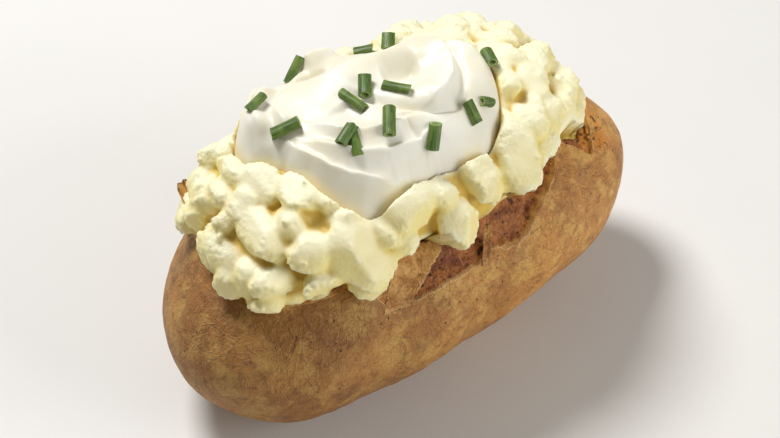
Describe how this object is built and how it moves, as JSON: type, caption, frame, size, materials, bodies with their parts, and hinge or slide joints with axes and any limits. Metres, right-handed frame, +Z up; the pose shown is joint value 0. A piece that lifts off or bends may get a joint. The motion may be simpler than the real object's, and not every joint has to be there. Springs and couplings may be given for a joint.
{
  "type": "baked potato",
  "caption": "Large baked potato torn open along the top, its fluffed flesh heaped out of the browned skin under a spoonful of sour cream with cut chives.",
  "frame": {"origin": "middle of the small flat spot underneath that the potato rests on", "axes": "+X along the potato toward the end where the heap is highest, -Y toward its front, +Z up"},
  "size_m": [0.15, 0.0814, 0.0947],
  "materials": {
    "browned_skin": "satin, finely mottled and wrinkled baked potato skin",
    "potato_flesh": "moist, soft and crumbly, light passes a little way in",
    "cream": "smooth soft gloss; chive lengths on it are satin green"
  },
  "bodies": {
    "root": {"jacket": "browned_skin", "flesh": "potato_flesh", "sour_cream": "cream"}
  },
  "joints": []
}
